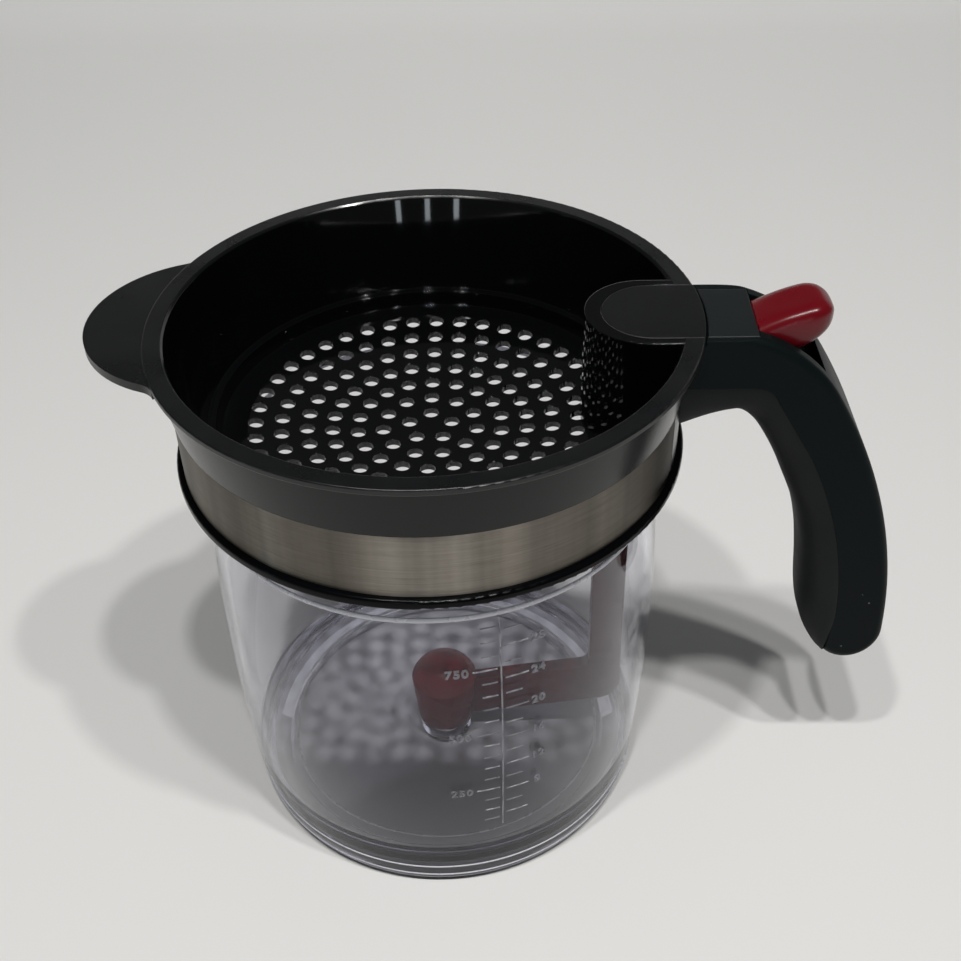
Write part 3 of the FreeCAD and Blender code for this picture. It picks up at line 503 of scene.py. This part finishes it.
def bead(name, radius, height, half, rise, material, flat=False):
    """A thin half-round ring of half width `half`, that stands out from the wall, or upwards if `flat`."""
    profile = []
    for point in range(BEAD_POINTS):
        bend = math.pi * point / (BEAD_POINTS - 1)
        along = half * math.cos(bend)
        above = rise * (math.sin(bend) - BEAD_SINK)
        out, up = (along, above) if flat else (above, along)
        profile.append((radius + out, height + up))
    angles = [2 * math.pi * turn / BEAD_TURNS for turn in range(BEAD_TURNS)]
    builder = bmesh.new()
    loft(builder, [[(out * math.cos(angle), out * math.sin(angle), up) for out, up in profile]
                   for angle in angles], closed=True)
    obj = new_object(name, mesh_from(builder, name))
    finish_piece(obj, material, "base")


def beads(material):
    """Beads round the cup's floor, its foot and its shoulder, pale so that they paint highlight lines there.
    """
    bead("floor_highlight_bead", *FLOOR_RING, 0.35 * MM, 0.30 * MM, material, flat=True)
    for row, height in enumerate(FOOT_HEIGHTS):
        bead(f"foot_highlight_bead_{row}", wall_radius(height), height, 0.28 * MM, 0.26 * MM, material)
    bead("neck_highlight_bead", wall_radius(SHOULDER), SHOULDER, 0.85 * MM, 0.4 * MM, material)


# ---------------------------------------------------------------- handle and thumb piece
# from the collar to the handle's tail: the seam with the shell and the palm's middle line,
# each as millimetres out from the lid's rim and down from its top, then the half width
GRIP_STATIONS = (
    (-6.0, 14.5, -6.0, 31.5, 13.5),
    (2.0, 14.5, 1.5, 27.6, 13.5),
    (8.5, 14.5, 6.6, 25.6, 13.5),
    (12.2, 14.5, 9.8, 25.4, 13.5),
    (16.4, 15.7, 13.2, 27.9, 13.5),
    (19.0, 19.4, 16.4, 31.9, 13.5),
    (24.25, 28.15, 20.9, 39.8, 13.5),
    (29.5, 36.9, 24.8, 48.4, 13.5),
    (35.5, 50.5, 29.2, 59.0, 13.5),
    (40.0, 64.6, 32.2, 70.2, 13.5),
    (42.8, 78.0, 34.0, 81.5, 13.5),
    (44.3, 91.3, 35.6, 94.3, 13.5),
    (43.9, 98.1, 37.6, 102.0, 13.5),
    (43.6, 103.0, 40.2, 106.3, 13.1),
    (43.4, 106.2, 42.3, 107.4, 12.2),
)
GRIP_WALL = 2.1
GRIP_TUCK = 0.9
TUCK_INSET = 0.5
GRIP_TURNS = 28
GRIP_SQUARENESS = 2.5

TAIL_START = 80.0
TAIL_END = (TOP - TAIL_BOTTOM) / MM
TAIL_LONGER = 2.7

# along the thumb piece, in millimetres: out from the rim, top and underside above the lid's top,
# half width, depth of the dish in its top
THUMB_STATIONS = (
    (12.75, -0.5, -11.4, 8.0, 0.0),
    (15.5, 1.0, -10.9, 8.0, 0.3),
    (19.0, 2.7, -9.9, 8.0, 0.7),
    (22.5, 4.0, -8.6, 8.0, 0.8),
    (25.5, 4.7, -6.9, 7.8, 0.4),
    (28.0, 4.5, -5.1, 7.0, 0.0),
    (30.0, 3.5, -3.3, 5.4, 0.0),
    (31.2, 2.1, -1.6, 3.2, 0.0),
    (31.6, 0.9, -0.3, 1.2, 0.0),
)
THUMB_CUT = RIM + THUMB_STATIONS[0][0] * MM
THUMB_TURNS = 40
THUMB_SQUARENESS = 3.6
WELD = 0.001 * MM
SHARP = math.radians(40)


def skin_object(name, builder, material, body):
    """A smooth piece from a mesh, with its sharp edges kept."""
    for face in builder.faces:
        face.smooth = True
    mesh = mesh_from(builder, name)
    mesh.set_sharp_from_angle(angle=SHARP)
    obj = new_object(name, mesh)
    finish_piece(obj, material, body)
    return obj


def tail_drop(drop):
    """A drop below the lid's top, stretched smoothly past TAIL_START so that the handle's tail is longer."""
    share = max(0.0, (drop - TAIL_START) / (TAIL_END - TAIL_START))
    return drop + TAIL_LONGER * share ** 1.5


def handle_outer(material):
    """Hard outer half of the handle with its full tail, in place of the plain one."""
    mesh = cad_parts["handle_shell"].data.copy()
    mesh.name = "handle_outer"
    for vertex in mesh.vertices:
        vertex.co.z = TOP - tail_drop((TOP - vertex.co.z) / MM) * MM
    obj = new_object("handle_outer", mesh)
    finish_piece(obj, material, "base")
    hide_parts("handle_shell")


def grip_arc(station, inset):
    """One crossing of the grip, `inset` below its surface, from flank to flank, with edges past the seam."""
    seam_out, seam_drop, palm_out, palm_drop, half = station
    depth = math.hypot(palm_out - seam_out, palm_drop - seam_drop)
    share = max(depth - inset, 0.25 * depth) / depth
    points = []

    def point(side, rise):
        out = seam_out + (palm_out - seam_out) * rise
        drop = seam_drop + (palm_drop - seam_drop) * rise
        return RIM + out * MM, side * MM, TOP - tail_drop(drop) * MM

    for turn in range(GRIP_TURNS + 1):
        side, rise = squarish(math.pi * turn / GRIP_TURNS, GRIP_SQUARENESS)
        points.append(point(side * (half - inset), rise * share))
    tucked = half - inset - TUCK_INSET
    return [point(tucked, -GRIP_TUCK / depth), *points, point(-tucked, -GRIP_TUCK / depth)]


def palm_grip(material):
    """Soft grip as a rounded shell that follows the fingers, in place of the plain one."""
    rings = []
    for station in smooth_path(GRIP_STATIONS):
        rings.append(grip_arc(station, 0.0) + grip_arc(station, GRIP_WALL)[::-1])
    builder = bmesh.new()
    loft(builder, rings)
    obj = skin_object("palm_grip", builder, material, "base")
    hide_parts("handle_grip")


def thumb_ring(out, top, under, half, dish):
    """One crossing of the thumb piece: a squarish oval with a dish in its top."""
    ring = []
    for turn in range(THUMB_TURNS):
        side, rise = squarish(2 * math.pi * turn / THUMB_TURNS, THUMB_SQUARENESS)
        up = (top + under) / 2 + (top - under) / 2 * rise
        if rise > 0:
            up -= dish * (1 - side * side) ** 2
        ring.append((RIM + out * MM, side * half * MM, TOP + up * MM))
    return ring


def thumb_lever(material):
    """Thumb lever with a rounded, slightly dished pad; the part inside the handle is the plain one's."""
    builder = bmesh.new()
    builder.from_mesh(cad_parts["trigger"].data)
    bmesh.ops.remove_doubles(builder, verts=builder.verts[:], dist=WELD)
    geometry = builder.verts[:] + builder.edges[:] + builder.faces[:]
    made = bmesh.ops.bisect_plane(builder, geom=geometry, plane_co=(THUMB_CUT, 0, 0), plane_no=(1, 0, 0),
                                  clear_outer=True)
    rim_edges = [piece for piece in made["geom_cut"] if isinstance(piece, bmesh.types.BMEdge)]
    bmesh.ops.holes_fill(builder, edges=rim_edges, sides=0)
    loft(builder, [thumb_ring(*station) for station in smooth_path(THUMB_STATIONS)])
    obj = skin_object("thumb_lever", builder, material, "lever")
    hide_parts("trigger")


# ---------------------------------------------------------------- stage
STAGE_WIDTH = 2.6
STAGE_FRONT = -1.4
STAGE_BACK = 0.75
STAGE_BEND = 0.12
STAGE_TOP = 0.42
STAGE_STEPS = 12


def table_look():
    """Pale matt table with a faint cloud in its tone."""
    maker = Maker("pale_table")
    maker.set(Roughness=0.55)
    maker.link(maker.mix_colour(maker.noise(3, 3), (0.79, 0.79, 0.785), (0.82, 0.82, 0.81)), "Base Color")
    return maker.material


def stage():
    """Pale table that curves up into a low pale wall behind."""
    flat_end = STAGE_BACK - STAGE_BEND
    line = [(STAGE_FRONT, 0.0), (flat_end, 0.0)]
    for step in range(1, STAGE_STEPS + 1):
        turn = math.radians(90 * step / STAGE_STEPS)
        line.append((flat_end + STAGE_BEND * math.sin(turn), STAGE_BEND * (1 - math.cos(turn))))
    line.append((STAGE_BACK, STAGE_TOP))
    builder = bmesh.new()
    rows = [[builder.verts.new((side * STAGE_WIDTH / 2, y, z)) for side in (-1, 1)] for y, z in line]
    for before, after in zip(rows, rows[1:]):
        builder.faces.new((before[0], before[1], after[1], after[0]))
    for face in builder.faces:
        face.smooth = True
    mesh = bpy.data.meshes.new("table_and_wall")
    builder.to_mesh(mesh)
    builder.free()
    obj = new_object("table_and_wall", mesh)
    obj.data.materials.append(table_look())


# ---------------------------------------------------------------- light
LIT_POINT = Vector((0.0, 0.0, 0.10))
LAMP_SLOPES = (0.37, 0.18, -0.01, -0.20)  # sideways run for each metre of height
LAMP_FORWARD = -0.30
LAMP_HEIGHT = 1.25
LAMP_SIZE = (0.05, 0.05)
LAMP_POWER = 4.25
LAMP_COLOUR = (1.0, 0.985, 0.965)
STRIP_HEADINGS = (13.4, 0.2, -13.1)
STRIP_FAR = 2.5
STRIP_RISE = 0.10
STRIP_SIZE = (0.10, 0.90)
STRIP_POWER = 1.5
STRIP_COLOUR = (0.86, 0.94, 1.0)
COOL_PLACE = (-2.20, -1.05, 0.11)
COOL_SIZE = (0.10, 0.50)
COOL_POWER = 0.9
COOL_COLOUR = (0.70, 0.93, 1.0)
ROOM_COLOUR = (0.97, 0.98, 1.0, 1)
ROOM_LIGHT = 0.07  # strength of the room where it lights the object
ROOM_SHOWN = 0.6  # and where it is seen, also through the cup


def area_light(name, place, size, power, colour):
    """A rectangular lamp turned towards the object, which the camera doesn't see."""
    light = bpy.data.lights.new(name, "AREA")
    light.shape = "RECTANGLE"
    light.size, light.size_y = size
    light.energy = power
    light.color = colour
    obj = new_object(name, light)
    obj.location = place
    obj.rotation_euler = (LIT_POINT - Vector(place)).to_track_quat("-Z", "Y").to_euler()
    obj.visible_camera = False


def lights():
    """Four small ceiling lamps, three dim upright strips far in front, and one cool strip at the left."""
    for row, slope in enumerate(LAMP_SLOPES):
        place = LIT_POINT + LAMP_HEIGHT * Vector((slope, LAMP_FORWARD, 1.0))
        area_light(f"lamp_{row}", place, LAMP_SIZE, LAMP_POWER, LAMP_COLOUR)
    for row, heading in enumerate(STRIP_HEADINGS):
        turn = math.radians(heading)
        place = LIT_POINT + Vector((STRIP_FAR * math.sin(turn), -STRIP_FAR * math.cos(turn), STRIP_RISE))
        area_light(f"strip_{row}", place, STRIP_SIZE, STRIP_POWER, STRIP_COLOUR)
    area_light("cool_strip", COOL_PLACE, COOL_SIZE, COOL_POWER, COOL_COLOUR)


def room():
    """Dim even light from all round, which shows brighter to the camera and through the cup."""
    world = bpy.data.worlds.new("soft_room")
    bpy.context.scene.world = world
    world.use_nodes = True
    tree = world.node_tree
    background = next(node for node in tree.nodes if node.type == "BACKGROUND")
    background.inputs["Color"].default_value = ROOM_COLOUR
    path = tree.nodes.new("ShaderNodeLightPath")
    shown = tree.nodes.new("ShaderNodeMath")
    shown.operation = "MAXIMUM"
    tree.links.new(path.outputs["Is Camera Ray"], shown.inputs[0])
    tree.links.new(path.outputs["Is Transmission Ray"], shown.inputs[1])
    strength = tree.nodes.new("ShaderNodeMapRange")
    strength.inputs["To Min"].default_value = ROOM_LIGHT
    strength.inputs["To Max"].default_value = ROOM_SHOWN
    tree.links.new(shown.outputs[0], strength.inputs["Value"])
    tree.links.new(strength.outputs[0], background.inputs["Strength"])


# ---------------------------------------------------------------- camera
CAMERA_PLACE = (19.61 * MM, -266.99 * MM, 318.79 * MM)
CAMERA_HEADING = 1.43
CAMERA_PITCH = 39.07  # degrees below the horizon
CAMERA_ROLL = -1.41
CAMERA_NEAR = 0.01
FRAME_PIXELS = 961
FOCAL_PIXELS = 1250
SENSOR = 36.0


def camera():
    data = bpy.data.cameras.new("camera")
    data.sensor_fit = "HORIZONTAL"
    data.sensor_width = SENSOR
    data.lens = SENSOR * FOCAL_PIXELS / FRAME_PIXELS
    data.clip_start = CAMERA_NEAR
    obj = new_object("camera", data)
    heading = Matrix.Rotation(math.radians(CAMERA_HEADING), 4, "Z")
    pitch = Matrix.Rotation(math.radians(90 - CAMERA_PITCH), 4, "X")
    roll = Matrix.Rotation(math.radians(CAMERA_ROLL), 4, "Z")
    turn = heading @ pitch @ roll
    obj.matrix_world = Matrix.Translation(CAMERA_PLACE) @ turn
    bpy.context.scene.camera = obj


# ---------------------------------------------------------------- the object
def dress(node, material):
    """Give a CAD node its material."""
    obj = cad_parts[node]
    if not obj.material_slots:
        obj.data.materials.append(material)
    for slot in obj.material_slots:
        slot.material = material


def dress_lid_and_collar():
    dress("collar", moulded_plastic("collar_look", (0.0032, 0.0036, 0.0042), 0.22, 0.02 * MM, 0.2))
    dress("collar_lower_ring", moulded_plastic("lip_look", (0.0016, 0.0018, 0.0022), 0.18, 0.01 * MM, 0.08))
    dress("steel_band", brushed_steel())
    dress("strainer_lid", lid_plastic())
    dress("lid_inlay_plate", moulded_plastic("plate_look", (0.0036, 0.0040, 0.0044), 0.36, 0.03 * MM, 0.3))


def dress_handle():
    handle_outer(speckled_plastic("handle_plastic_look", 0.06))
    dress("handle_top_cap", speckled_plastic("cap_plastic_look", 0.4))
    palm_grip(soft_grip())
    steel = ground_steel()
    for node in ("pivot_pin", "link_pin", "return_spring", "handle_screws"):
        dress(node, steel)


def dress_lever_and_stopper():
    thumb_lever(red_plastic("lever_look", (0.105, 0.0018, 0.0050), (0.145, 0.0026, 0.0075), 0.24, 0.05, 0.35))
    arm_look = red_plastic("arm_look", (0.065, 0.0022, 0.0032), (0.105, 0.0035, 0.0050), 0.25, 0.1, 0.12)
    dress("lift_arm", arm_look)
    plug_look = red_plastic("stopper_look", (0.10, 0.0020, 0.0028), (0.165, 0.0032, 0.0042), 0.28, 0.1, 0.12)
    dress("stopper", plug_look)


def dress_cup():
    dress("cup", clear_plastic())
    scale(frosted_plastic())
    # pale rings that paint the cup's highlight lines
    beads(cloudy_plastic())


camera()
stage()
lights()
room()
dress_lid_and_collar()
dress_handle()
dress_lever_and_stopper()
dress_cup()

bpy.context.scene.view_settings.view_transform = "Standard"
